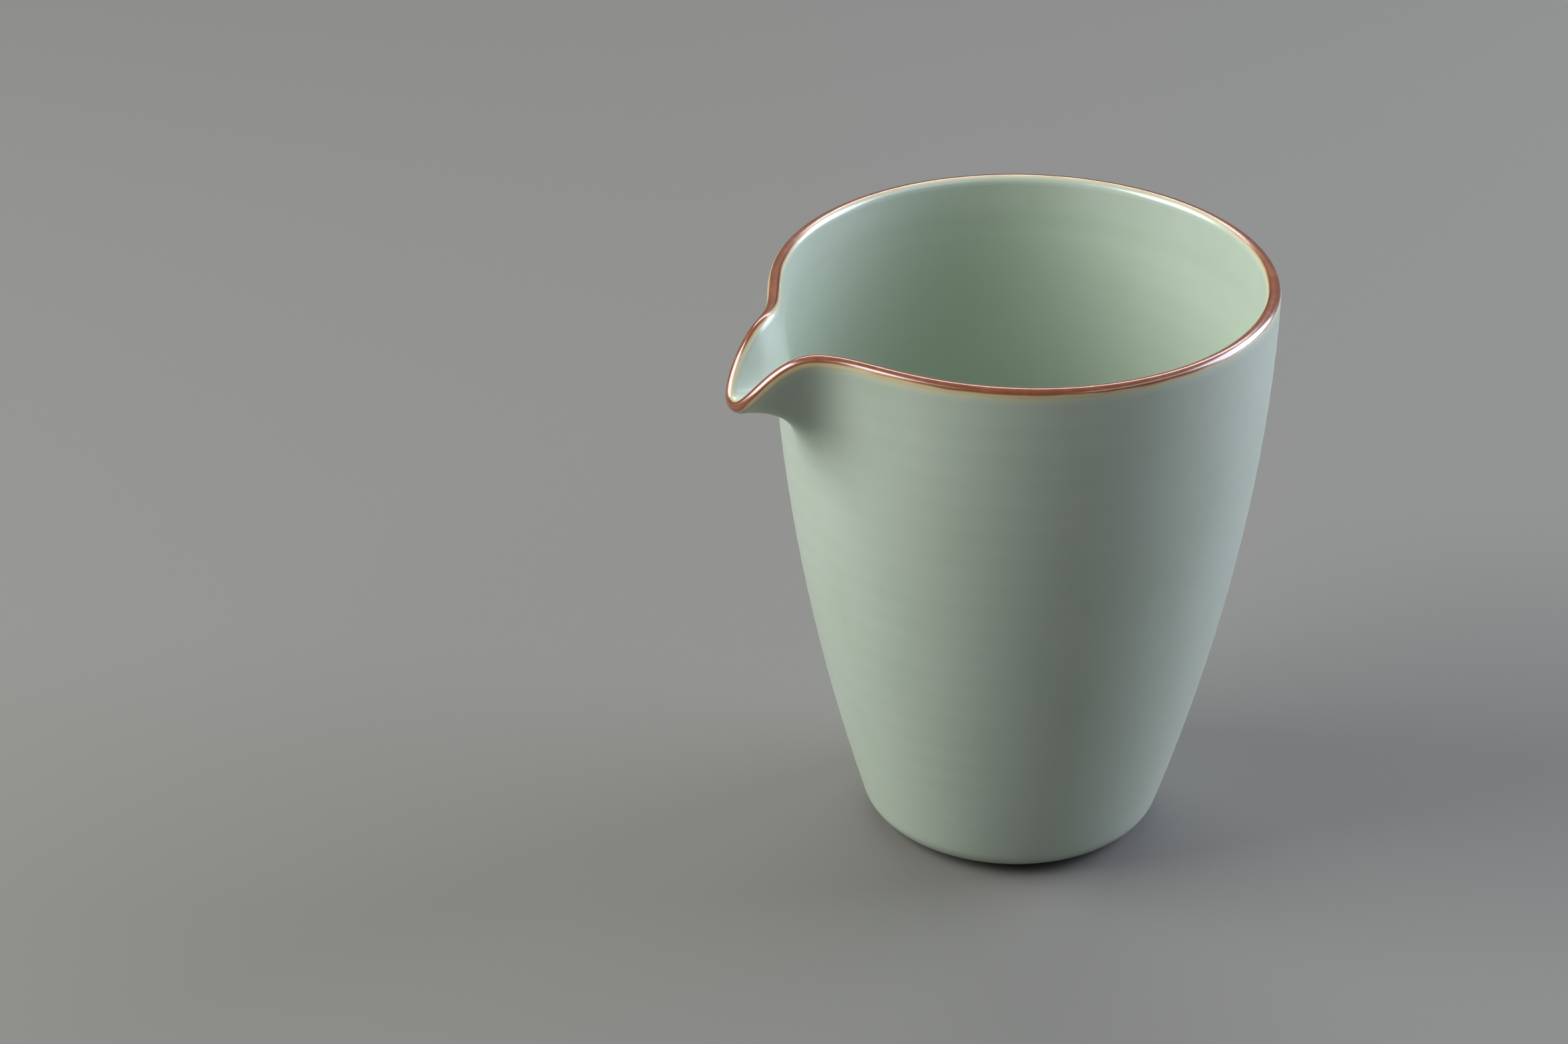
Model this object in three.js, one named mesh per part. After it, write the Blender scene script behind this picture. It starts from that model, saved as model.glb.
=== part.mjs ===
// A small celadon tea pitcher: a turned stoneware pot whose lip is drawn out into a pouring spout.
// Millimetres, +Z up, the spout towards +X and the foot ring on Z = 0. The origin lies under the
// middle of the whole outline.
import * as THREE from "three";

// Body
const HEIGHT = 95; // foot to the top of the lip
const MOUTH_RADIUS = 39.2; // outside of the lip
const HEEL_RADIUS = 22.7; // where the line of the wall would reach the table
const WALL_FULLNESS = 1.85; // 1 makes a straight cone, more makes a fuller wall
const HEEL_FILLET = 5;
const LIP_THICKNESS = 2.3;
const HEEL_THICKNESS = 3.4;
const FLOOR_THICKNESS = 3.4;
const FLOOR_FILLET = 9;

// Foot
const FOOT_RADIUS = 18.9;
const FOOT_RISE = 0.8; // from the table to the heel
const FOOT_RING_WIDTH = 3.6;
const FOOT_WELL_DEPTH = 1.6;
const FOOT_CHAMFER = 0.35;

// Spout
const SPOUT_REACH = 12.8; // how far the lip is drawn out past the round of the mouth
const SPOUT_HALF_WIDTH = 5.4; // at half of the reach
const SPOUT_FLARE = 2.6; // more makes a narrower root and a blunter tip
const SPOUT_DROOP = 8.3; // how far the tip hangs below the lip
const SPOUT_LEVEL_SHARE = 0.28; // share of the reach over which the lip stays level
const SPOUT_DEPTH = 28.5; // below the lip, where the wall is round again
const SPOUT_FADE = 3; // 1 lets the spout run out evenly, more keeps it near the lip

// Glaze
const GLAZE = 0.4; // thickness of each coat
const BOND = 0.08; // between the coats and the clay
const WELL_GLAZE_MARGIN = 0.5; // bare clay around the glaze of the foot well

// Facets
const TURN_STEPS = 60;
const TURN_CROWDING = 0.75; // 0 spaces the facets evenly, near 1 crowds them at the spout
const WALL_ROWS = 10;
const ROW_CROWDING = 1.6; // above 1, rows crowd at the lip
const ARC_STEPS = 5;
const SLOPE_STEP = 0.01; // for slopes taken by differences
const FILLET_PASSES = 12; // enough for the fillets to settle on the wall

const lipLevel = HEIGHT - LIP_THICKNESS / 2;
const glazeLevel = lipLevel - BOND;
const clayDepth = GLAZE + BOND;
const floorLevel = FOOT_WELL_DEPTH + FLOOR_THICKNESS;
const spoutHalfAngle = SPOUT_HALF_WIDTH / (MOUTH_RADIUS - LIP_THICKNESS / 2);

// Outline of the wall

function wallRadius(z) {
  const below = Math.max(0, 1 - z / HEIGHT);
  return MOUTH_RADIUS - (MOUTH_RADIUS - HEEL_RADIUS) * below ** WALL_FULLNESS;
}

function wallThickness(z) {
  return LIP_THICKNESS + (HEEL_THICKNESS - LIP_THICKNESS) * Math.max(0, 1 - z / HEIGHT);
}

function middleRadius(z) {
  return wallRadius(z) - wallThickness(z) / 2;
}

function leanOf(radiusAt, z) {
  return Math.atan2(radiusAt(z + SLOPE_STEP) - radiusAt(z - SLOPE_STEP), 2 * SLOPE_STEP);
}

// The point at a depth under the outer surface, square to the wall
function underWall(z, depth) {
  const lean = leanOf(wallRadius, z);
  return new THREE.Vector2(wallRadius(z) - depth * Math.cos(lean), z + depth * Math.sin(lean));
}

// Rows of points from the top of the glaze down to a level, the same rows for each coat
function wallLine(low, depthAt) {
  const rows = [];
  for (let row = 0; row <= WALL_ROWS; row++) {
    const z = glazeLevel - (glazeLevel - low) * (row / WALL_ROWS) ** ROW_CROWDING;
    rows.push(underWall(z, depthAt(z)));
  }
  return rows;
}

function arcLine(centre, radius, from, to) {
  const line = [];
  for (let step = 0; step <= ARC_STEPS; step++) {
    const angle = from + ((to - from) * step) / ARC_STEPS;
    line.push(
      new THREE.Vector2(
        centre.x + radius * Math.cos(angle),
        centre.y + radius * Math.sin(angle),
      ),
    );
  }
  return line;
}

// A fillet that runs from the wall into a level surface: where it leaves the wall, and its centre
function filletUnderWall(level, radius, depthAt) {
  let z = level + radius;
  for (let pass = 0; pass < FILLET_PASSES; pass++) {
    const sine = Math.sin(leanOf(wallRadius, z));
    z = level + radius * (1 - sine) - depthAt(z) * sine;
  }
  const lean = leanOf(wallRadius, z);
  const touch = underWall(z, depthAt(z));
  const centre = new THREE.Vector2(touch.x - radius * Math.cos(lean), level + radius);
  return { z, lean, centre };
}

const heel = filletUnderWall(FOOT_RISE, HEEL_FILLET, () => 0);
const corner = filletUnderWall(floorLevel, FLOOR_FILLET, wallThickness);

// Down the outside and round the heel, at a depth under the surface
function outsideLine(depth) {
  return [
    ...wallLine(heel.z, () => depth),
    ...arcLine(heel.centre, HEEL_FILLET - depth, -heel.lean, -Math.PI / 2).slice(1),
  ];
}

// Down the inside to the middle of the floor, at a depth under the surface
function insideLine(depth) {
  return [
    ...wallLine(corner.z, (z) => wallThickness(z) - depth),
    ...arcLine(corner.centre, FLOOR_FILLET + depth, -corner.lean, -Math.PI / 2).slice(1),
    new THREE.Vector2(0, floorLevel - depth),
  ];
}

// Over the rounded lip from the outside to the inside, at a depth under the surface
function lipLine(depth) {
  const centre = new THREE.Vector2(MOUTH_RADIUS - LIP_THICKNESS / 2, lipLevel);
  return arcLine(centre, LIP_THICKNESS / 2 - depth, 0, Math.PI);
}

// Under the body, from the middle of the foot well to the outside of the foot ring
function footLine() {
  const wellTop = FOOT_WELL_DEPTH + clayDepth;
  const wellRadius = FOOT_RADIUS - FOOT_RING_WIDTH;
  return [
    new THREE.Vector2(0, wellTop),
    new THREE.Vector2(wellRadius - FOOT_CHAMFER, wellTop),
    new THREE.Vector2(wellRadius, wellTop - FOOT_CHAMFER),
    new THREE.Vector2(wellRadius, FOOT_CHAMFER),
    new THREE.Vector2(wellRadius + FOOT_CHAMFER, 0),
    new THREE.Vector2(FOOT_RADIUS - FOOT_CHAMFER, 0),
    new THREE.Vector2(FOOT_RADIUS, FOOT_CHAMFER),
    new THREE.Vector2(FOOT_RADIUS, FOOT_RISE + clayDepth),
  ];
}

// Spout

// The middle of the wall, drawn out and down near the spout and plain everywhere else
function drawnWall(turn, z) {
  const pull = 1 / (1 + Math.abs(turn / spoutHalfAngle) ** SPOUT_FLARE);
  const past = Math.max(0, (pull - SPOUT_LEVEL_SHARE) / (1 - SPOUT_LEVEL_SHARE));
  const fade = Math.max(0, 1 - (lipLevel - z) / SPOUT_DEPTH) ** SPOUT_FADE;
  const radius = middleRadius(z) + SPOUT_REACH * pull * fade;
  const height = z - SPOUT_DROOP * past * past * fade;
  return new THREE.Vector3(radius * Math.cos(turn), radius * Math.sin(turn), height);
}

// Where a point of the round pot goes when the spout is drawn: it keeps its place beside the
// middle of the wall, so the wall keeps its thickness
function drawnPoint(radius, turn, height) {
  const level = Math.min(height, lipLevel);
  if (lipLevel - level >= SPOUT_DEPTH) {
    return new THREE.Vector3(radius * Math.cos(turn), radius * Math.sin(turn), height);
  }
  const lean = leanOf(middleRadius, level);
  const up = drawnWall(turn, level + SLOPE_STEP)
    .sub(drawnWall(turn, level - SLOPE_STEP))
    .normalize();
  const along = drawnWall(turn + SLOPE_STEP, level).sub(drawnWall(turn - SLOPE_STEP, level));
  const out = along.cross(up).normalize();
  const across = out.clone().multiplyScalar(Math.cos(lean)).addScaledVector(up, Math.sin(lean));
  const above = up.clone().multiplyScalar(Math.cos(lean)).addScaledVector(out, -Math.sin(lean));
  return drawnWall(turn, level)
    .addScaledVector(across, radius - middleRadius(level))
    .addScaledVector(above, height - level);
}

// The faces between the profile's points, split alike on both sides of the spout and on coats that
// lie on each other: from the higher point nearer to the spout to the lower one further from it
function splitFaces(profile) {
  const index = [];
  for (let step = 0; step < TURN_STEPS; step++) {
    for (let n = 0; n + 1 < profile.length; n++) {
      const rise = profile[n + 1].y - profile[n].y || profile[n + 1].x - profile[n].x;
      const a = n + step * profile.length;
      const b = a + profile.length;
      const falls = rise < 0;
      const firstSide = step < TURN_STEPS / 2;
      if (falls === firstSide) {
        index.push(a, b, b + 1, a, b + 1, a + 1);
      } else {
        index.push(a, b, a + 1, b, b + 1, a + 1);
      }
    }
  }
  return index;
}

// A piece turned from its profile, then drawn with the spout
function turned(profile) {
  const geometry = new THREE.LatheGeometry(profile, TURN_STEPS);
  geometry.setIndex(splitFaces(profile));
  const places = geometry.getAttribute("position");
  for (let n = 0; n < places.count; n++) {
    const even = Math.atan2(places.getX(n), places.getZ(n));
    const turn = even - TURN_CROWDING * Math.sin(even);
    const radius = Math.hypot(places.getX(n), places.getZ(n));
    const point = drawnPoint(radius, turn, places.getY(n));
    places.setXYZ(n, point.x, point.y, point.z);
  }
  geometry.computeVertexNormals();
  return geometry;
}

// Pieces

function clayBody() {
  return turned([
    ...footLine(),
    ...outsideLine(clayDepth).reverse(),
    ...lipLine(clayDepth),
    ...insideLine(clayDepth),
  ]);
}

function outerGlaze() {
  const face = outsideLine(0);
  return turned([...face.slice().reverse(), ...outsideLine(GLAZE), face.at(-1)]);
}

function innerGlaze() {
  return turned([...insideLine(GLAZE).reverse(), ...insideLine(0)]);
}

function lipBand() {
  const face = lipLine(0);
  return turned([...face, ...lipLine(GLAZE).reverse(), face[0]]);
}

function footWellGlaze() {
  const radius = FOOT_RADIUS - FOOT_RING_WIDTH - FOOT_CHAMFER - WELL_GLAZE_MARGIN;
  return turned([
    new THREE.Vector2(0, FOOT_WELL_DEPTH),
    new THREE.Vector2(radius, FOOT_WELL_DEPTH),
    new THREE.Vector2(radius, FOOT_WELL_DEPTH + GLAZE),
    new THREE.Vector2(0, FOOT_WELL_DEPTH + GLAZE),
  ]);
}

// Finishes

const celadon = { color: 0xa9baa6, roughness: 0.32, metalness: 0 };
const bareClay = { color: 0x9a6a4c, roughness: 0.85, metalness: 0 };
const ironBrown = { color: 0x8a4a2e, roughness: 0.35, metalness: 0 };

function piece(name, geometry, finish) {
  const mesh = new THREE.Mesh(geometry, new THREE.MeshStandardMaterial(finish));
  mesh.name = name;
  return mesh;
}

const pitcher = new THREE.Group();
pitcher.add(
  piece("clay_body", clayBody(), bareClay),
  piece("outer_glaze", outerGlaze(), celadon),
  piece("inner_glaze", innerGlaze(), celadon),
  piece("lip_band", lipBand(), ironBrown),
  piece("foot_well_glaze", footWellGlaze(), celadon),
);
// The spout reaches further than the back, so the turning axis stands behind the origin
pitcher.position.x = -SPOUT_REACH / 2;

export default pitcher;
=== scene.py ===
import math

import bpy
import numpy as np
from mathutils import Euler, Matrix, Vector


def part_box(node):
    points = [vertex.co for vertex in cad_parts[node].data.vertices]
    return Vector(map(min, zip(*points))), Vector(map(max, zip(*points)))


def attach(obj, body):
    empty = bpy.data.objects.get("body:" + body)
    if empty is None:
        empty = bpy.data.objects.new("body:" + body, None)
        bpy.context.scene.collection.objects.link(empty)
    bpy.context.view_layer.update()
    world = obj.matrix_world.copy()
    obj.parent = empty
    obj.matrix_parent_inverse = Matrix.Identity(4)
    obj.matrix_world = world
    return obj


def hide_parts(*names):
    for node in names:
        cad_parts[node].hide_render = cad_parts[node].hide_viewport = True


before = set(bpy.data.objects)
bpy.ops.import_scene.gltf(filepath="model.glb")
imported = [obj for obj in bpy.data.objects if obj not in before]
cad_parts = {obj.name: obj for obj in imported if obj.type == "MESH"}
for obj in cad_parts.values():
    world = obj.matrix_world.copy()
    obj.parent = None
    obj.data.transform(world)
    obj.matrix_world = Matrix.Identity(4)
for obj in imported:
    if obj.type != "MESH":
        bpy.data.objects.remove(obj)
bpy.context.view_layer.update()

# A celadon tea pitcher: a turned stoneware body, its glaze coats and the brown edge of its lip.
# Each piece is drawn as half a section, spun round the pot's axis, and then drawn out at the spout.
MM = 0.001

# Body
HEIGHT = 95 * MM
MOUTH_RADIUS = 39.2 * MM
HEEL_RADIUS = 22.7 * MM
WALL_FULLNESS = 1.85
HEEL_FILLET = 5 * MM
LIP_THICKNESS = 2.3 * MM
HEEL_THICKNESS = 3.4 * MM
FLOOR_THICKNESS = 3.4 * MM
FLOOR_FILLET = 9 * MM

# Foot
FOOT_RADIUS = 18.9 * MM
FOOT_RISE = 0.8 * MM
FOOT_RING_WIDTH = 3.6 * MM
FOOT_WELL_DEPTH = 1.6 * MM
FOOT_EDGE = 0.35 * MM

# Spout
SPOUT_REACH = 12.8 * MM
SPOUT_HALF_WIDTH = 5.4 * MM
SPOUT_FLARE = 2.6
SPOUT_DROOP = 8.3 * MM
SPOUT_LEVEL_SHARE = 0.28
SPOUT_DEPTH = 28.5 * MM
SPOUT_FADE = 2.85

# Glaze
GLAZE = 0.4 * MM
BOND = 0.08 * MM
WELL_GLAZE_MARGIN = 0.5 * MM

# Marks of the wheel, too shallow for the solids
SHOULDER_DEPTH = 7.5 * MM  # a soft hollow under the lip, inside
SHOULDER_SPREAD = 3.2 * MM
SHOULDER_HOLLOW = 0.11 * MM
RING_PITCH = 4.6 * MM
RING_RELIEF = 0.012 * MM

# Mesh
TURN_STEPS = 256
TURN_CROWDING = 0.72
WALL_ROWS = 110
HIDDEN_ROWS = 36
ROW_CROWDING = 1.3
ARC_STEPS = 18
LIP_STEPS = 40
END_STEPS = 6
EDGE_STEPS = 5
FILLET_PASSES = 12
SLOPE_STEP = 0.01 * MM
ANGLE_STEP = 0.01
SPIN_MERGE = 0.001 * MM
POINTS_AT_ONCE = TURN_STEPS * 8
SHARP_ANGLE = math.radians(50)

pot_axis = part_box("foot_well_glaze")
POT_X = (pot_axis[0][0] + pot_axis[1][0]) / 2
lip_radius = LIP_THICKNESS / 2
lip_level = HEIGHT - lip_radius
glaze_level = lip_level - BOND
clay_depth = GLAZE + BOND
floor_level = FOOT_WELL_DEPTH + FLOOR_THICKNESS
spout_half_angle = SPOUT_HALF_WIDTH / (MOUTH_RADIUS - lip_radius)
half_lip_arc = math.pi / 2 * lip_radius


# Outline of the wall, as in the solids

def wall_radius(z):
    below = np.maximum(0, 1 - z / HEIGHT)
    return MOUTH_RADIUS - (MOUTH_RADIUS - HEEL_RADIUS) * below ** WALL_FULLNESS


def wall_thickness(z):
    return LIP_THICKNESS + (HEEL_THICKNESS - LIP_THICKNESS) * np.maximum(0, 1 - z / HEIGHT)


def middle_radius(z):
    return wall_radius(z) - wall_thickness(z) / 2


def lean_of(radius_at, z):
    return np.arctan2(radius_at(z + SLOPE_STEP) - radius_at(z - SLOPE_STEP), 2 * SLOPE_STEP)


def under_wall(z, depth):
    lean = lean_of(wall_radius, z)
    return (wall_radius(z) - depth * math.cos(lean), z + depth * math.sin(lean))


def wall_line(low, depth_at, rows):
    shares = [(row / rows) ** ROW_CROWDING for row in range(rows + 1)]
    levels = [glaze_level - (glaze_level - low) * share for share in shares]
    return [under_wall(z, depth_at(z)) for z in levels]


def arc_line(centre, radius, start, end, steps=ARC_STEPS):
    angles = [start + (end - start) * step / steps for step in range(steps + 1)]
    return [(centre[0] + radius * math.cos(a), centre[1] + radius * math.sin(a)) for a in angles]


def fillet_under_wall(level, radius, depth_at):
    """Where a fillet that rises from a level touches the wall, the wall's lean there, and its centre."""
    z = level + radius
    for _ in range(FILLET_PASSES):
        sine = math.sin(lean_of(wall_radius, z))
        z = level + radius * (1 - sine) - depth_at(z) * sine
    lean = lean_of(wall_radius, z)
    touch = under_wall(z, depth_at(z))
    return z, lean, (touch[0] - radius * math.cos(lean), level + radius)


heel_z, heel_lean, heel_centre = fillet_under_wall(FOOT_RISE, HEEL_FILLET, lambda z: 0)
corner_z, corner_lean, corner_centre = fillet_under_wall(floor_level, FLOOR_FILLET, wall_thickness)


def outside_line(depth, rows=WALL_ROWS):
    heel = arc_line(heel_centre, HEEL_FILLET - depth, -heel_lean, -math.pi / 2)
    return wall_line(heel_z, lambda z: depth, rows) + heel[1:]


def inside_line(depth, rows=WALL_ROWS):
    corner = arc_line(corner_centre, FLOOR_FILLET + depth, -corner_lean, -math.pi / 2)
    shares = [1 - step / ARC_STEPS for step in range(1, ARC_STEPS + 1)]
    floor = [(corner[-1][0] * share, floor_level - depth) for share in shares]
    return wall_line(corner_z, lambda z: wall_thickness(z) - depth, rows) + corner[1:] + floor


def lip_line(depth):
    centre = (MOUTH_RADIUS - lip_radius, lip_level)
    return arc_line(centre, lip_radius - depth, 0, math.pi, LIP_STEPS)


def rounded_end(line_end, other_end):
    """Half a round from one face of a coat to the other."""
    centre = ((line_end[0] + other_end[0]) / 2, (line_end[1] + other_end[1]) / 2)
    radius = math.dist(line_end, other_end) / 2
    start = math.atan2(line_end[1] - centre[1], line_end[0] - centre[0])
    return arc_line(centre, radius, start, start - math.pi, END_STEPS)[1:-1]


# Spout

def drawn_wall(turn, z):
    """The middle of the wall at a turn round the axis, drawn out and down towards the spout."""
    pull = 1 / (1 + np.abs(turn / spout_half_angle) ** SPOUT_FLARE)
    past = np.maximum(0, (pull - SPOUT_LEVEL_SHARE) / (1 - SPOUT_LEVEL_SHARE))
    fade = np.maximum(0, 1 - (lip_level - z) / SPOUT_DEPTH) ** SPOUT_FADE
    radius = middle_radius(z) + SPOUT_REACH * pull * fade
    height = z - SPOUT_DROOP * past * past * fade
    return np.stack([radius * np.cos(turn), radius * np.sin(turn), height], axis=-1)


def unit(vectors):
    return vectors / np.linalg.norm(vectors, axis=-1, keepdims=True)


def drawn_point(radius, turn, height):
    """Where points of the round pot go when the spout is drawn."""
    level = np.minimum(height, lip_level)
    lean = lean_of(middle_radius, level)[:, None]
    up = unit(drawn_wall(turn, level + SLOPE_STEP) - drawn_wall(turn, level - SLOPE_STEP))
    along = drawn_wall(turn + ANGLE_STEP, level) - drawn_wall(turn - ANGLE_STEP, level)
    out = unit(np.cross(along, up))
    across = out * np.cos(lean) + up * np.sin(lean)
    above = up * np.cos(lean) - out * np.sin(lean)
    moved = drawn_wall(turn, level)
    moved += across * (radius - middle_radius(level))[:, None] + above * (height - level)[:, None]
    plain = np.stack([radius * np.cos(turn), radius * np.sin(turn), height], axis=-1)
    return np.where((lip_level - level >= SPOUT_DEPTH)[:, None], plain, moved)


def wheel_marks(turn, height, inside):
    """How far the wheel and the hand leave the surface from its true place, outwards."""
    below = lip_level - height
    hollow = SHOULDER_HOLLOW * np.exp(-(((below - SHOULDER_DEPTH) / SHOULDER_SPREAD) ** 2)) * inside
    drift = turn / (2 * math.pi)
    rings = np.sin(2 * math.pi * (below / RING_PITCH + drift)) * np.clip(below / RING_PITCH, 0, 1)
    return hollow + RING_RELIEF * rings


# Making the pieces

def deselect_all():
    bpy.ops.object.select_all(action="DESELECT")


def drawn_section(line):
    """Half a section in the XZ plane: one vertex, extruded from point to point."""
    deselect_all()
    bpy.ops.mesh.primitive_plane_add(size=MM, location=(0, 0, 0))
    section = bpy.context.object
    bpy.ops.object.mode_set(mode="EDIT")
    bpy.ops.mesh.merge(type="CENTER")
    here = (0, 0)
    for number, there in enumerate(line):
        step = (there[0] - here[0], 0, there[1] - here[1])
        if number == 0:
            bpy.ops.transform.translate(value=step)
        else:
            bpy.ops.mesh.extrude_vertices_move(TRANSFORM_OT_translate={"value": step})
        here = there
    return section


def spun(name, line):
    """The section spun round the pot's axis into a closed shell."""
    piece = drawn_section(line)
    bpy.ops.mesh.select_all(action="SELECT")
    bpy.ops.mesh.spin(steps=TURN_STEPS, angle=2 * math.pi, center=(0, 0, 0), axis=(0, 0, 1))
    bpy.ops.mesh.select_all(action="SELECT")
    bpy.ops.mesh.remove_doubles(threshold=SPIN_MERGE)
    bpy.ops.mesh.normals_make_consistent(inside=False)
    bpy.ops.object.mode_set(mode="OBJECT")
    piece.name = name
    piece.data.name = name
    return piece


def lip_arcs(line, places):
    """Signed distance of each point from the top of the lip along the wall, outwards positive."""
    rows = np.array(line)
    across = rows[:, 0] - MOUTH_RADIUS + lip_radius
    above = rows[:, 1] - lip_level
    side = np.where(rows[:, 0] > middle_radius(rows[:, 1]), 1, -1)
    round_the_lip = np.arctan2(across, above) * lip_radius
    arcs = np.where(above > 0, round_the_lip, side * (half_lip_arc - above))
    radius = np.hypot(places[:, 0], places[:, 1])
    nearest = np.empty(len(places), int)
    for first in range(0, len(places), POINTS_AT_ONCE):
        part = slice(first, first + POINTS_AT_ONCE)
        outward = radius[part, None] - rows[None, :, 0]
        upward = places[part, 2, None] - rows[None, :, 1]
        nearest[part] = (outward ** 2 + upward ** 2).argmin(axis=1)
    return arcs[nearest]


def pot_piece(name, line, node, finish):
    """A piece of the pot: spun, drawn with the spout, marked by the wheel, and finished."""
    piece = spun(name, line)
    mesh = piece.data
    places = np.empty(len(mesh.vertices) * 3)
    mesh.vertices.foreach_get("co", places)
    places = places.reshape(-1, 3)
    arcs = lip_arcs(line, places)
    even = np.arctan2(places[:, 1], places[:, 0])
    turn = even - TURN_CROWDING * np.sin(even)
    radius = np.hypot(places[:, 0], places[:, 1])
    marks = wheel_marks(turn, places[:, 2], arcs < 0) * (radius > FOOT_RADIUS)
    moved = drawn_point(radius + marks, turn, places[:, 2])
    moved[:, 0] += POT_X
    mesh.vertices.foreach_set("co", moved.ravel())
    distances = mesh.attributes.new("lip_arc", "FLOAT", "POINT")
    distances.data.foreach_set("value", arcs / MM)
    mesh.update()
    bpy.ops.object.shade_smooth_by_angle(angle=SHARP_ANGLE)
    mesh.materials.append(finish)
    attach(piece, "root")
    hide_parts(node)
    return piece


def glazed_outside(finish):
    face = outside_line(0)
    back = outside_line(GLAZE, HIDDEN_ROWS)[::-1]
    line = face + rounded_end(face[-1], back[0]) + back + face[:1]
    return pot_piece("glazed_outside", line, "outer_glaze", finish)


def glazed_inside(finish):
    face = inside_line(0)
    back = inside_line(GLAZE, HIDDEN_ROWS)[::-1]
    line = back + face
    return pot_piece("glazed_inside", line, "inner_glaze", finish)


def brown_lip(finish):
    outer = [under_wall(glaze_level, 0)]
    thickness = wall_thickness(glaze_level)
    inner = [under_wall(glaze_level, thickness)]
    back = [under_wall(glaze_level, thickness - GLAZE)] + lip_line(GLAZE)[::-1]
    back += [under_wall(glaze_level, GLAZE)]
    face = outer + lip_line(0) + inner
    line = face + back + face[:1]
    return pot_piece("brown_lip", line, "lip_band", finish)


def fired_clay(finish):
    well_top = FOOT_WELL_DEPTH + clay_depth
    well_radius = FOOT_RADIUS - FOOT_RING_WIDTH
    inner_centre = (well_radius + FOOT_EDGE, FOOT_EDGE)
    outer_centre = (FOOT_RADIUS - FOOT_EDGE, FOOT_EDGE)
    inner_edge = arc_line(inner_centre, FOOT_EDGE, math.pi, math.pi * 1.5, EDGE_STEPS)
    outer_edge = arc_line(outer_centre, FOOT_EDGE, -math.pi / 2, 0, EDGE_STEPS)
    well = [(well_radius * step / ARC_STEPS, well_top) for step in range(ARC_STEPS + 1)]
    foot = well + inner_edge + outer_edge + [(FOOT_RADIUS, FOOT_RISE + clay_depth)]
    outside = outside_line(clay_depth, HIDDEN_ROWS)[::-1]
    inside = inside_line(clay_depth, HIDDEN_ROWS)
    line = foot + outside + lip_line(clay_depth) + inside
    return pot_piece("fired_clay", line, "clay_body", finish)


def glazed_well(finish):
    radius = FOOT_RADIUS - FOOT_RING_WIDTH - FOOT_EDGE - WELL_GLAZE_MARGIN - GLAZE / 2
    under = [(radius * step / ARC_STEPS, FOOT_WELL_DEPTH) for step in range(ARC_STEPS + 1)]
    centre = (radius, FOOT_WELL_DEPTH + GLAZE / 2)
    edge = arc_line(centre, GLAZE / 2, -math.pi / 2, math.pi / 2, END_STEPS)[1:]
    line = under + edge + [(0, FOOT_WELL_DEPTH + GLAZE)]
    return pot_piece("glazed_well", line, "foot_well_glaze", finish)


# Finishes

class Value:
    """A number of a material, which takes part in Python sums."""

    def __init__(self, finish, socket):
        self.finish = finish
        self.socket = socket

    def result(self, operation, first, second=0.0):
        return self.finish.node("ShaderNodeMath", {"operation": operation}, [first, second])

    def __add__(self, other):
        return self.result("ADD", self, other)

    def __radd__(self, other):
        return self.result("ADD", other, self)

    def __sub__(self, other):
        return self.result("SUBTRACT", self, other)

    def __rsub__(self, other):
        return self.result("SUBTRACT", other, self)

    def __mul__(self, other):
        return self.result("MULTIPLY", self, other)

    def __rmul__(self, other):
        return self.result("MULTIPLY", other, self)

    def __truediv__(self, other):
        return self.result("DIVIDE", self, other)

    def __pow__(self, other):
        return self.result("POWER", self, other)

    def __abs__(self):
        return self.result("ABSOLUTE", self)

    def most(self, other):
        return self.result("MAXIMUM", self, other)


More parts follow.
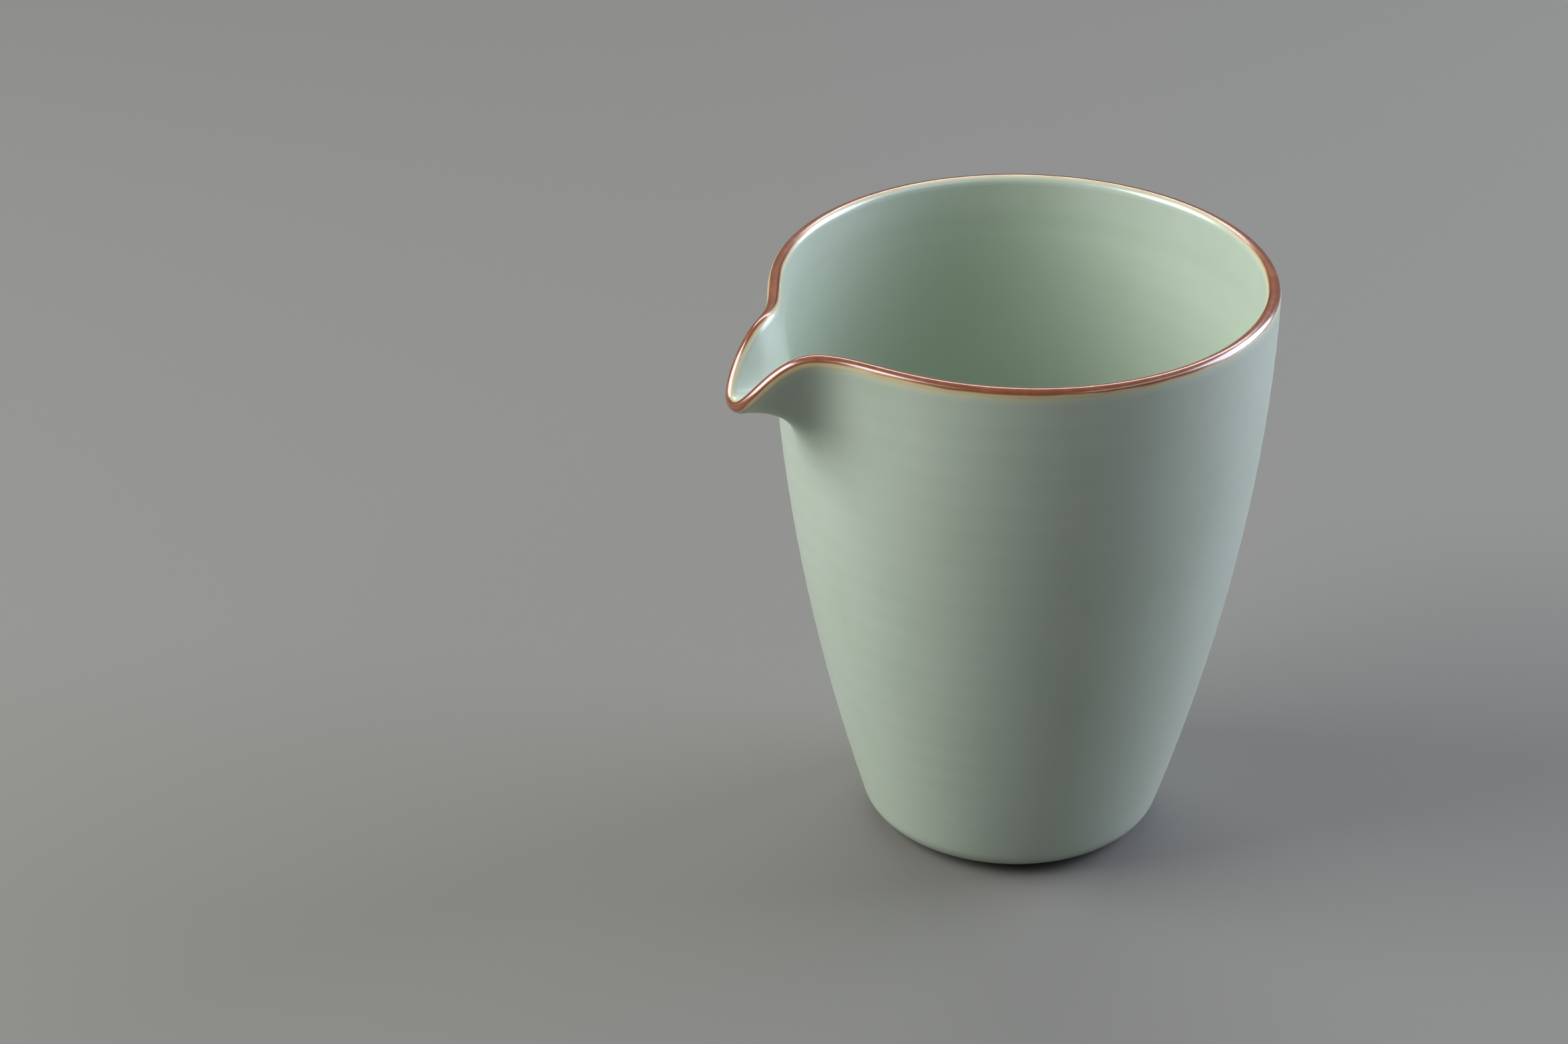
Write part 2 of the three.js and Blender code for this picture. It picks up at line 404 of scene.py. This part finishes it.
class Finish:
    """A material under construction."""

    def __init__(self, name, **constants):
        self.material = bpy.data.materials.new(name)
        self.material.use_nodes = True
        self.nodes = self.material.node_tree.nodes
        self.links = self.material.node_tree.links
        self.surface = self.nodes["Principled BSDF"]
        for socket, value in constants.items():
            self.surface.inputs[socket.replace("_", " ")].default_value = value

    def feed(self, socket, value):
        if isinstance(value, Value):
            self.links.new(value.socket, socket)
        else:
            socket.default_value = value

    def node(self, kind, settings=None, inputs=None, output=0):
        made = self.nodes.new(kind)
        for name, value in (settings or {}).items():
            setattr(made, name, value)
        named = inputs.items() if isinstance(inputs, dict) else enumerate(inputs or [])
        for key, value in named:
            self.feed(made.inputs[key], value)
        return Value(self, made.outputs[output])

    def place(self):
        return self.node("ShaderNodeTexCoord", output="Object")

    def attribute(self, name):
        return self.node("ShaderNodeAttribute", {"attribute_name": name}, output="Fac")

    def along(self, direction):
        """How far a point lies in a direction, in metres from the part's origin."""
        inputs = [self.place(), direction]
        return self.node("ShaderNodeVectorMath", {"operation": "DOT_PRODUCT"}, inputs, output="Value")

    def noise(self, size, detail=2.0, stretch=(1, 1, 1)):
        """Noise from 0 to 1 with features of a size in metres."""
        scaled = self.node("ShaderNodeMapping", {}, {"Vector": self.place(), "Scale": stretch})
        inputs = {"Vector": scaled, "Scale": 1 / size, "Detail": detail, "Roughness": 0.5}
        return self.node("ShaderNodeTexNoise", {}, inputs, output="Fac")

    def specks(self, size, radius, share):
        """1 at round specks in a share of the cells of a size, 0 elsewhere."""
        inputs = {"Vector": self.place(), "Scale": 1 / size, "Randomness": 1.0}
        cells = {"feature": "F1"}
        distance = self.node("ShaderNodeTexVoronoi", cells, inputs, output="Distance")
        colour = self.node("ShaderNodeTexVoronoi", cells, inputs, output="Color")
        draw = self.node("ShaderNodeSeparateColor", {}, [colour], output="Red")
        chosen = self.node("ShaderNodeMath", {"operation": "LESS_THAN"}, [draw, share])
        return self.rise(distance, radius / size, radius / size * SPECK_CORE) * chosen

    def rise(self, value, start, end, low=0.0, high=1.0):
        """A smooth step from low at start to high at end."""
        inputs = {"Value": value, "From Min": start, "From Max": end, "To Min": low, "To Max": high}
        return self.node("ShaderNodeMapRange", {"interpolation_type": "SMOOTHSTEP"}, inputs)

    def mix(self, first, second, share):
        settings = {"data_type": "RGBA"}
        return self.node("ShaderNodeMix", settings, {0: share, 6: first, 7: second}, output=2)

    def bump(self, height, distance, strength, under=None):
        inputs = {"Height": height, "Distance": distance, "Strength": strength}
        if under is not None:
            inputs["Normal"] = under
        return self.node("ShaderNodeBump", {}, inputs)

    def done(self, **varying):
        for socket, value in varying.items():
            self.feed(self.surface.inputs[socket.replace("_", " ")], value)
        return self.material


CELADON = (0.442, 0.517, 0.425, 1)
CELADON_DEEP = (0.385, 0.472, 0.363, 1)
CELADON_PALE = (0.495, 0.57, 0.5, 1)
# The next colour is painted light: a paler green for the band just below the lip outside.
CELADON_PAINTED_LIGHT = (0.59, 0.66, 0.52, 1)
CREAM = (0.6, 0.535, 0.31, 1)
AMBER = (0.52, 0.34, 0.14, 1)
IRON_BROWN = (0.205, 0.056, 0.019, 1)
IRON_PALE = (0.285, 0.09, 0.038, 1)
IRON_DARK = (0.055, 0.02, 0.012, 1)
SPECK = (0.13, 0.135, 0.1, 1)
CLAY = (0.36, 0.17, 0.09, 1)
CLAY_DARK = (0.2, 0.085, 0.045, 1)
CLAY_PALE = (0.46, 0.28, 0.17, 1)
TABLE_GREY = (0.175, 0.175, 0.158, 1)
TABLE_IOR = 1.35
TABLE_ROUGHNESS = 0.6

# Places in millimetres along the wall from the top of the lip, outwards positive
BROWN_INNER_END = -0.75
BROWN_OUTER_END = 1.3
# The next place is where the band of painted light below the lip, outside, has faded out.
PAINTED_LIGHT_END = 3.4
# The next two are where the colour inside the pot starts to darken and where it is darkest.
INSIDE_DARKENING_START = -3
INSIDE_DARKENING_FULL = -12

# Distances in millimetres to both sides of the top of the lip
GLOSS_FADE_END = 7
GLOSSY_LIP_START = 2.4
GLOSSY_LIP_FULL = 0.9

# Widths and shifts in millimetres along the wall
BROWN_BLUR = 0.16
BROWN_WANDER = 0.35
THIN_BROWN_SHIFT = 0.55
NARROW_BROWN_SHIFT = 0.45
CREAM_INSIDE = 1.1
CREAM_LEAST = 0.5
CREAM_SPREAD = 1.7
AMBER_SHARE = 0.4  # share of the cream's width that turns from amber

# Dark lines along the brown, placed in millimetres outwards from its ends
INNER_LINE_PLACE = 0.2
OUTER_LINE_PLACE = -0.1
INNER_LINE_REACH = 0.2
OUTER_LINE_REACH = 0.16
LINE_CORE = 0.04  # fully dark within this of a line's middle

# Sides of the pot where the brown starts later or ends sooner, or the cream is wide
THIN_BROWN_SIDE = (-0.5, -0.86, 0)
NARROW_BROWN_SIDE = (0.84, -0.54, 0)
BROWN_SIDE_RISE = (8 * MM, 38 * MM)
WIDE_CREAM_SIDE = (0.9, 0.42, 0)
CREAM_SIDE_RISE = (-12 * MM, 32 * MM)

# Patterns in the glaze and the clay
TONE_SIZE = 26 * MM
CLOUD_SIZE = 7 * MM
CLOUD_STRETCH = (1, 1, 0.4)
CREAM_WAVE_SIZE = 9 * MM
BROWN_WANDER_SIZE = 5 * MM
BROWN_STREAK_SIZE = 2.4 * MM
BROKEN_LINE_SIZE = 12 * MM
SATIN_PATCH_SIZE = 1.6 * MM
GLAZE_GRAIN_SIZE = 0.9 * MM
BROWN_GRAIN_SIZE = 0.4 * MM
GLAZE_GRAIN_RELIEF = 0.004 * MM
SPECK_SPACING = 8 * MM
SPECK_RADIUS = 0.22 * MM
SPECK_SHARE = 0.16
SPECK_CORE = 0.4  # share of a speck's radius that is fully dark
PIT_DEPTH = 0.03 * MM
CLAY_GRAIN_SIZE = 0.45 * MM
CLAY_CLOUD_SIZE = 5 * MM
GROG_SPACING = 1.2 * MM
GROG_RADIUS = 0.18 * MM
GROG_SHARE = 0.35
CLAY_RELIEF = 0.05 * MM

# Gloss
GLAZE_IOR = 1.5
CLAY_IOR = 1.5
LIP_COAT_IOR = 1.7
LIP_COAT_ROUGHNESS = 0.2
SATIN_ROUGHNESS = 0.37
BROWN_SMOOTHING = 0.17
SPECK_ROUGHENING = 0.2
CLAY_ROUGHNESS = 0.78
FAR_GLOSS = 0.06
NEAR_GLOSS = 0.24
LIP_GLOSS = 0.9


def celadon_colour(finish, arc):
    """Clouded grey-green, darker inside the pot from a little below the lip, and with a band of painted
    light just below the lip outside: a paler green where the upturned outer face would catch more light
    from above.
    """
    tone = finish.noise(TONE_SIZE)
    cloud = finish.noise(CLOUD_SIZE, detail=3.0, stretch=CLOUD_STRETCH)
    outside = finish.rise(arc, 0.0, 0.5)
    # A paler band just below the lip outside: painted light, where the upturned outer face would catch
    # more light from above.
    thin = finish.rise(arc, PAINTED_LIGHT_END, BROWN_OUTER_END, high=0.6) * outside
    colour = finish.mix(CELADON, CELADON_PALE, finish.rise(tone, 0.35, 0.75, high=0.3))
    colour = finish.mix(colour, CELADON_DEEP, finish.rise(cloud, 0.45, 0.8, high=0.35))
    # Darker inside the pot, from 3 mm below the lip to its full depth at 12 mm.
    darker_inside = finish.rise(arc, INSIDE_DARKENING_START, INSIDE_DARKENING_FULL, high=0.5)
    colour = finish.mix(colour, CELADON_DEEP, darker_inside)
    return finish.mix(colour, CELADON_PAINTED_LIGHT, thin)


def brown_colour(finish, past_inner_end, past_outer_end):
    """Streaky iron brown with a thin dark line along each edge, the inner one broken."""
    streak = finish.noise(BROWN_STREAK_SIZE, detail=3.0)
    brown = finish.mix(IRON_BROWN, IRON_PALE, finish.rise(streak, 0.4, 0.8))
    inner_line = finish.rise(abs(past_inner_end - INNER_LINE_PLACE), INNER_LINE_REACH, LINE_CORE)
    outer_line = finish.rise(abs(past_outer_end - OUTER_LINE_PLACE), OUTER_LINE_REACH, LINE_CORE)
    gaps = finish.noise(BROKEN_LINE_SIZE, detail=1.0)
    inner_line *= finish.rise(gaps, 0.3, 0.6, low=0.2, high=0.9)
    return finish.mix(brown, IRON_DARK, inner_line.most(outer_line * 0.3))


def glaze(name):
    """Satin celadon, which runs thin and cream towards the lip and breaks to iron brown on it."""
    finish = Finish(name, IOR=GLAZE_IOR, Coat_IOR=LIP_COAT_IOR, Coat_Roughness=LIP_COAT_ROUGHNESS)
    arc = finish.attribute("lip_arc")
    edge = arc + (finish.noise(BROWN_WANDER_SIZE, detail=1.0) - 0.5) * BROWN_WANDER
    thin_side = finish.rise(finish.along(THIN_BROWN_SIDE), *BROWN_SIDE_RISE)
    narrow_side = finish.rise(finish.along(NARROW_BROWN_SIDE), *BROWN_SIDE_RISE)
    past_inner_end = edge - (BROWN_INNER_END + thin_side * THIN_BROWN_SHIFT)
    past_outer_end = edge - (BROWN_OUTER_END - narrow_side * NARROW_BROWN_SHIFT)
    from_outside = finish.rise(past_outer_end, -BROWN_BLUR, BROWN_BLUR, low=1.0, high=0.0)
    from_inside = finish.rise(past_inner_end, BROWN_BLUR, -BROWN_BLUR, low=1.0, high=0.0)
    on_brown = from_outside * from_inside

    cream_side = finish.rise(finish.along(WIDE_CREAM_SIDE), *CREAM_SIDE_RISE)
    uneven = finish.rise(finish.noise(CREAM_WAVE_SIZE, detail=1.0), 0.1, 0.6, low=0.5)
    reach = CREAM_LEAST + CREAM_SPREAD * cream_side * uneven
    past_brown = (past_outer_end / reach).most((0 - past_inner_end) / CREAM_INSIDE)
    creamy = finish.rise(past_brown, 0.0, 1.0, low=0.95, high=0.0) ** 1.4
    cream = finish.mix(AMBER, CREAM, finish.rise(past_brown, 0.0, AMBER_SHARE))

    specks = finish.specks(SPECK_SPACING, SPECK_RADIUS, SPECK_SHARE) * (1 - on_brown)
    colour = finish.mix(celadon_colour(finish, arc), cream, creamy)
    colour = finish.mix(colour, brown_colour(finish, past_inner_end, past_outer_end), on_brown)
    colour = finish.mix(colour, SPECK, specks * 0.6)

    satin = SATIN_ROUGHNESS + (finish.noise(SATIN_PATCH_SIZE) - 0.5) * 0.08
    roughness = satin - on_brown * BROWN_SMOOTHING + specks * SPECK_ROUGHENING
    near_lip = finish.rise(abs(arc), GLOSS_FADE_END, BROWN_OUTER_END, FAR_GLOSS, NEAR_GLOSS)
    on_lip = finish.rise(abs(arc), GLOSSY_LIP_START, GLOSSY_LIP_FULL, high=LIP_GLOSS)
    grain = finish.noise(GLAZE_GRAIN_SIZE) + on_brown * finish.noise(BROWN_GRAIN_SIZE) * 1.5
    skin = finish.bump(grain, GLAZE_GRAIN_RELIEF, strength=0.6)
    return finish.done(
        Base_Color=colour,
        Roughness=roughness,
        Coat_Weight=near_lip.most(on_brown).most(on_lip),
        Normal=finish.bump(1 - specks, PIT_DEPTH, strength=0.8, under=skin),
    )


def bare_clay(name):
    """Fine unglazed stoneware, fired warm brown, darker in its pores."""
    finish = Finish(name, IOR=CLAY_IOR)
    grain = finish.noise(CLAY_GRAIN_SIZE, detail=3.0)
    cloud = finish.noise(CLAY_CLOUD_SIZE)
    grog = finish.specks(GROG_SPACING, GROG_RADIUS, GROG_SHARE)
    colour = finish.mix(CLAY, CLAY_PALE, finish.rise(cloud, 0.35, 0.7))
    colour = finish.mix(colour, CLAY_DARK, finish.rise(grain, 0.5, 0.75, high=0.7))
    colour = finish.mix(colour, CLAY_PALE, grog * 0.7)
    roughness = CLAY_ROUGHNESS + (grain - 0.5) * 0.2
    rough_skin = finish.bump(grain + grog, CLAY_RELIEF, strength=0.7)
    return finish.done(Base_Color=colour, Roughness=roughness, Normal=rough_skin)


def matt_grey(name):
    """The plain top of a table, with a slight sheen."""
    return Finish(name, IOR=TABLE_IOR, Base_Color=TABLE_GREY, Roughness=TABLE_ROUGHNESS).done()


# Stage, light and camera

CAMERA_PLACE = Vector((0.3306 + POT_X, 0.509, 0.3837))
CAMERA_PITCH = math.radians(61.28)
CAMERA_HEADING = math.radians(150.5)
CAMERA_ROLL = math.radians(0.12)
CAMERA_LENS = 100
CAMERA_SENSOR = 36
TABLE_WIDTH = 6
ROOM_LIGHT = (0.86, 0.93, 1, 1)
ROOM_STRENGTH = 0.13


def camera():
    lens = bpy.data.cameras.new("camera")
    lens.lens = CAMERA_LENS
    lens.sensor_width = CAMERA_SENSOR
    viewpoint = bpy.data.objects.new("camera", lens)
    turn = Euler((CAMERA_PITCH, 0, CAMERA_HEADING)).to_matrix()
    turn = turn @ Matrix.Rotation(CAMERA_ROLL, 3, "Z")
    viewpoint.matrix_world = Matrix.Translation(CAMERA_PLACE) @ turn.to_4x4()
    bpy.context.collection.objects.link(viewpoint)
    bpy.context.scene.camera = viewpoint


def softbox(name, side, elevation, distance, width, height, strength, colour):
    """A lamp that faces the pot, at a side in degrees from the camera's, clockwise seen from above.

    Its strength is how bright it alone makes a white matt surface that faces it there.
    """
    heading = CAMERA_HEADING - math.pi / 2 - math.radians(side)
    rise = math.radians(elevation)
    aim = Vector((POT_X, 0, HEIGHT / 2))
    toward = Vector((
        math.cos(heading) * math.cos(rise),
        math.sin(heading) * math.cos(rise),
        math.sin(rise),
    ))
    light = bpy.data.lights.new(name, "AREA")
    light.shape = "RECTANGLE"
    light.size = width
    light.size_y = height
    light.color = colour
    light.energy = strength * (math.pi * distance) ** 2
    lamp = bpy.data.objects.new(name, light)
    lamp.location = aim + toward * distance
    lamp.rotation_euler = toward.to_track_quat("Z", "Y").to_euler()
    bpy.context.collection.objects.link(lamp)


def lights():
    softbox(
        "left_softbox", side=83, elevation=34, distance=0.9,
        width=0.65, height=0.65, strength=1.36, colour=(1, 1, 0.99),
    )
    softbox(
        "right_softbox", side=-109, elevation=24, distance=0.9,
        width=0.65, height=0.65, strength=1.42, colour=(0.78, 0.81, 1),
    )
    softbox(
        "back_softbox", side=180, elevation=44, distance=1.2,
        width=1.2, height=0.16, strength=0.38, colour=(1, 1, 1),
    )
    softbox(
        "left_fill", side=58, elevation=50, distance=1.0,
        width=0.6, height=0.16, strength=0.05, colour=(1, 1, 1),
    )
    softbox(
        "right_fill", side=-60, elevation=48, distance=1.0,
        width=0.9, height=0.16, strength=0.105, colour=(0.9, 0.9, 1),
    )
    world = bpy.data.worlds.new("room")
    world.use_nodes = True
    surround = world.node_tree.nodes["Background"]
    surround.inputs["Color"].default_value = ROOM_LIGHT
    surround.inputs["Strength"].default_value = ROOM_STRENGTH
    bpy.context.scene.world = world


def table():
    deselect_all()
    bpy.ops.mesh.primitive_plane_add(size=TABLE_WIDTH, location=(0, 0, 0))
    top = bpy.context.object
    top.name = "table_top"
    top.data.materials.append(matt_grey("table_top"))


camera()
lights()
table()
celadon = glaze("celadon_glaze")
clay = bare_clay("bare_clay")
fired_clay(clay)
glazed_outside(celadon)
glazed_inside(celadon)
brown_lip(glaze("iron_brown_lip"))
glazed_well(celadon)

bpy.context.scene.view_settings.view_transform = "Standard"
